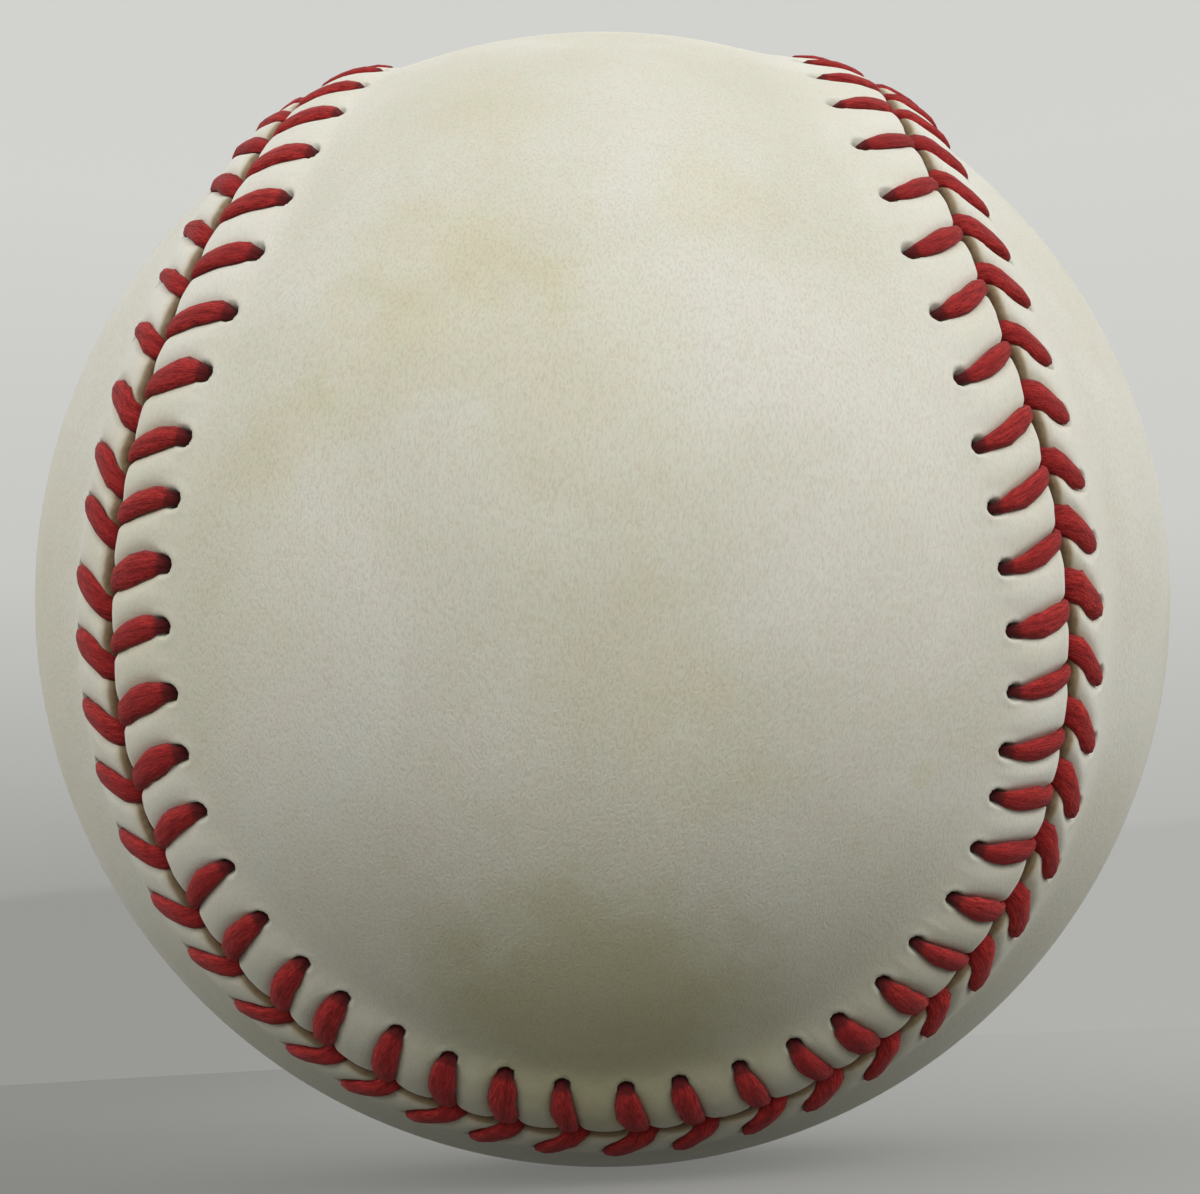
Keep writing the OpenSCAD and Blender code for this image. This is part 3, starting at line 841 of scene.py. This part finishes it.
# Painted shade in the grooves between the plies
thread_colour = thread.blend((1 - plies) * 0.4, thread_colour, PLY_GAP_SHADE)
thread_colour = thread.blend(tone * 0.3, thread_colour, RED_WORN)
# Painted shade where each leg dives into its hole
hole_end_shade = 1 - thread.attribute("share").eased(-0.015, 0.09)
thread_colour = thread.blend(hole_end_shade * 0.88, thread_colour, THREAD_HOLE_SHADE)
# Painted shade on the thread where it dives into the seam and runs under the leather
thread_colour = thread.blend((1 - body_here) * 0.9, thread_colour, SEAM_DIVE_SHADE)
thread_material = thread.close(
    thread_colour, 0.7 + 0.2 * fibres, plies * 0.3 + strands * 0.45 + fibres * 0.25, STRAND_DEPTH,
    Specular_IOR_Level=0.25, Sheen_Weight=0.08, Sheen_Roughness=0.4)

leg_object = bpy.data.objects.new("leg", leg_mesh())
path_curve = bpy.data.curves.new("seam_path", "CURVE")
path_curve.dimensions = "3D"
spline = path_curve.splines.new("POLY")
path_places = np.arange(20 * STITCHES) / 20
spline.points.add(len(path_places) - 1)
beyond_unit = (1 + wander(path_places) * MM)[:, None]  # how far out a point is gives its stray
path_points = np.hstack([seam_frames(path_places)[0] * beyond_unit, np.ones((len(path_places), 1))])
spline.points.foreach_set("co", path_points.ravel())
spline.use_cyclic_u = True
path_object = bpy.data.objects.new("seam_path", path_curve)
for helper in (leg_object, path_object):
    bpy.context.scene.collection.objects.link(helper)
tree = lacing_tree()

for start, name in ((0, "first_waxed_thread"), (1, "second_waxed_thread")):
    sides = np.where((numbers + start) % 2 == 0, 1, -1)
    here = np.array([hole_places[s][k] for s, k in zip(sides, numbers)])
    next_hole = np.array([hole_places[-s][(k + 1) % STITCHES] for s, k in zip(sides, numbers)])
    next_hole[-1] += STITCHES
    marks = {"side": sides, "place": here, "reach": next_hole - here,
             "lean": [leans[s][k] for s, k in zip(sides, numbers)],
             "width": [widths[s][k] for s, k in zip(sides, numbers)],
             "taper": [tapers[s][k] for s, k in zip(sides, numbers)],
             "hole_d": [hole_ds[s][k] for s, k in zip(sides, numbers)],
             "next_hole_d": [hole_ds[-s][(k + 1) % STITCHES] for s, k in zip(sides, numbers)],
             "tone": hand.random(STITCHES)}
    holes = bpy.data.meshes.new(name)
    holes.from_pydata([(0, 0, 0)] * STITCHES, [], [])
    for mark, values in marks.items():
        holes.attributes.new(mark, "FLOAT", "POINT").data.foreach_set(
            "value", np.array(values, np.float32))
    laces = bpy.data.objects.new(name, holes)
    bpy.context.scene.collection.objects.link(laces)
    lacing = laces.modifiers.new("lacing", "NODES")
    lacing.node_group = tree
    settings = {"Leg": leg_object, "Seam path": path_object, "Stitches": STITCHES,
                "Ball radius": BALL_R * MM, "Stitch pitch": PITCH * MM, "Thread": thread_material}
    for item in tree.interface.items_tree:
        if item.name in settings:
            lacing[item.identifier] = settings[item.name]
    bpy.context.view_layer.update()
    evaluated = laces.evaluated_get(bpy.context.evaluated_depsgraph_get())
    final = bpy.data.meshes.new_from_object(evaluated)
    laces.modifiers.remove(lacing)
    laces.data = final
    dress(laces, thread_material)
    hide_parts("first_seam_thread" if start == 0 else "second_seam_thread")
    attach(laces, "root")
for helper in (leg_object, path_object):
    bpy.data.objects.remove(helper)


# Table and backdrop: a pale cloth laid flat under the ball, and one hung all round it that
# rises from the table's edge. Light passes the hung cloth, as if it stood far behind the lamp.
TABLE_Z = -0.0366


def turned_cloth(name, profile):
    """A surface turned about Z from points of radius and height above the table."""
    turns = np.radians(np.arange(0, 360, 5))
    points = [(r * math.cos(a), r * math.sin(a), z + TABLE_Z) for r, z in profile for a in turns]
    count = len(turns)
    faces = [(n * count + k, n * count + (k + 1) % count, (n + 1) * count + (k + 1) % count,
              (n + 1) * count + k) for n in range(len(profile) - 1) for k in range(count)]
    mesh = bpy.data.meshes.new(name)
    mesh.from_pydata(points, [], faces)
    mesh.shade_smooth()
    mesh.flip_normals()
    piece = bpy.data.objects.new(name, mesh)
    bpy.context.scene.collection.objects.link(piece)
    return piece


TABLE_R, BEND_R, WALL_TOP = 0.26, 0.36, 1.4
SHADE_FOOT, SHADE_SPAN = 0.04, 0.26

# The hung cloth's greys on its left and right, painted light and shade that make it darker low down
# and on the left:
# below the line where a wide table would end, just above that line, half-way up and at the top
GREYS_AT = (0.155, 0.165, 0.5, 1.0)
LEFT_GREYS, RIGHT_GREYS = (143, 153, 197, 211), (171, 177, 203, 211)
cloth = Finish("pale_cloth")
sideways = cloth.add("ShaderNodeSeparateXYZ", {}, {"Vector": cloth.place}, "X").eased(-0.08, 0.08)
height = cloth.add("ShaderNodeSeparateXYZ", {}, {"Vector": cloth.place}, "Z")
painted_fold_shade = (cloth.noise(0.16, detail=2) - 0.5) * 0.03
shades = []
for greys in (LEFT_GREYS, RIGHT_GREYS):
    stops = [(at, paint(grey, grey, grey - 3)) for at, grey in zip(GREYS_AT, greys)]
    shades.append(cloth.add("ShaderNodeValToRGB", {"stops": stops},
                            {"Fac": (height + painted_fold_shade + SHADE_FOOT) / SHADE_SPAN}, "Color"))
shown = cloth.blend(sideways, *shades)


def seen_rays(nodes):
    """1 for a ray from the camera, off a shiny surface or through a clear one."""
    rays = nodes.tree.nodes.new("ShaderNodeLightPath")
    kinds = ("Is Camera Ray", "Is Glossy Ray", "Is Transmission Ray")
    seen, glossy, clear = (Value(nodes, rays.outputs[kind]) for kind in kinds)
    return seen.math("MAXIMUM", seen.math("MAXIMUM", seen, glossy), clear)


seen = seen_rays(cloth)
lit = cloth.add("ShaderNodeBsdfDiffuse", {}, {"Color": paint(70, 70, 69)}, "BSDF")
pale = cloth.add("ShaderNodeEmission", {}, {"Color": shown, "Strength": 0.92}, "Emission")
both = cloth.add("ShaderNodeAddShader", {}, {0: lit, 1: pale})
mixed = cloth.add("ShaderNodeMixShader", {}, {"Fac": seen, 1: lit, 2: both})
cloth.add("ShaderNodeOutputMaterial", {}, {"Surface": mixed})

# The cloth under the ball takes its shadow, and glows a little, which stands for light thrown
# back by a wide table; the glow the camera sees is dimmer on the left, painted shade on that side
laid = Finish("laid_cloth")
sideways = laid.add("ShaderNodeSeparateXYZ", {}, {"Vector": laid.place}, "X").eased(-0.08, 0.08)
GLOW_LEFT, GLOW_RIGHT, GLOW_BOUNCED = paint(80, 80, 78), paint(134, 134, 132), paint(80, 80, 79)
glow = laid.blend(sideways, GLOW_LEFT, GLOW_RIGHT)
shaded = laid.add("ShaderNodeBsdfDiffuse", {}, {"Color": paint(116, 116, 114)}, "BSDF")
pale = laid.add("ShaderNodeEmission", {}, {"Color": glow, "Strength": 1.0}, "Emission")
both = laid.add("ShaderNodeAddShader", {}, {0: shaded, 1: pale})
lit = laid.add("ShaderNodeBsdfDiffuse", {}, {"Color": paint(78, 78, 77)}, "BSDF")
passed = laid.add("ShaderNodeEmission", {}, {"Color": GLOW_BOUNCED, "Strength": 1.0}, "Emission")
lit = laid.add("ShaderNodeAddShader", {}, {0: lit, 1: passed})
mixed = laid.add("ShaderNodeMixShader", {}, {"Fac": seen_rays(laid), 1: lit, 2: both})
laid.add("ShaderNodeOutputMaterial", {}, {"Surface": mixed})
table_cloth = turned_cloth("table_cloth", [(r, 0.0) for r in (0.0005, 0.04, 0.1, TABLE_R)])
rise_turns = np.radians(np.linspace(0, 90, 19))
hung_cloth = turned_cloth("hung_cloth", [
    (TABLE_R + BEND_R * math.sin(a), BEND_R * (1 - math.cos(a))) for a in rise_turns]
    + [(TABLE_R + BEND_R, WALL_TOP)])
for piece, finish in ((table_cloth, laid), (hung_cloth, cloth)):
    dress(piece, finish.material)
hung_cloth.visible_diffuse = False
hung_cloth.visible_shadow = False

# The room: a ring of bright windows above the ball's middle, and a plain pale wall behind
ROOM_GREY, WINDOW_STRENGTH = paint(212, 212, 210), 2.4
world = bpy.data.worlds.new("room")
bpy.context.scene.world = world
world.use_nodes = True
room = Nodes(world.node_tree)
room.tree.nodes.clear()
way = room.add("ShaderNodeTexCoord", {}, {}, "Generated")
up = room.add("ShaderNodeSeparateXYZ", {}, {"Vector": way}, "Z")
ring = room.add("ShaderNodeValToRGB", {"stops": [
    (0.49, (0.0, 0.0, 0.0, 1.0)), (0.54, (0.1, 0.1, 0.1, 1.0)), (0.6, (0.5, 0.5, 0.5, 1.0)),
    (0.7, (1.0, 1.0, 1.0, 1.0)), (0.8, (0.7, 0.7, 0.7, 1.0)), (0.9, (0.18, 0.18, 0.18, 1.0)),
    (1.0, (0.1, 0.1, 0.1, 1.0))]}, {"Fac": (up + 1.0) / 2.0}, "Color")
windows = room.add("ShaderNodeBackground", {}, {"Color": ring, "Strength": WINDOW_STRENGTH},
                   "Background")
plain = room.add("ShaderNodeBackground", {}, {"Color": ROOM_GREY, "Strength": 1.0}, "Background")
shown_room = room.add("ShaderNodeMixShader", {}, {"Fac": seen_rays(room), 1: windows, 2: plain})
room.add("ShaderNodeOutputWorld", {}, {"Surface": shown_room})


def lamp(name, place, aim, size, power, colour):
    data = bpy.data.lights.new(name, "AREA")
    data.shape, data.size, data.energy, data.color = "DISK", size, power, colour
    piece = bpy.data.objects.new(name, data)
    turn = (Vector(aim) - Vector(place)).to_track_quat("-Z", "Y").to_matrix().to_4x4()
    piece.matrix_world = Matrix.Translation(Vector(place)) @ turn
    bpy.context.scene.collection.objects.link(piece)


lamp("window_lamp", (0.4, -0.35, 0.38), (0, 0, 0), 0.3, 0.7, (1.0, 0.99, 0.97))


# Camera: close to the ball and a little under its middle, tipped 2.8 degrees, as the photograph
# was taken. Its axes and place were fitted to the seam and the outline.
FOCAL, FITTED_R = 77.59, 0.0366
view = Matrix(((0.99817, 0.05351, 0.02813, 0.1270 * FITTED_R),
               (0.03560, -0.14427, -0.98890, -4.6065 * FITTED_R),
               (-0.04886, 0.98809, -0.14592, -0.6756 * FITTED_R),
               (0, 0, 0, 1)))
camera_data = bpy.data.cameras.new("camera")
camera_data.sensor_width, camera_data.lens = 36, FOCAL
camera_data.clip_start = 0.005
camera = bpy.data.objects.new("camera", camera_data)
camera.matrix_world = view
bpy.context.scene.collection.objects.link(camera)
bpy.context.scene.camera = camera
bpy.context.scene.view_settings.view_transform = "Standard"
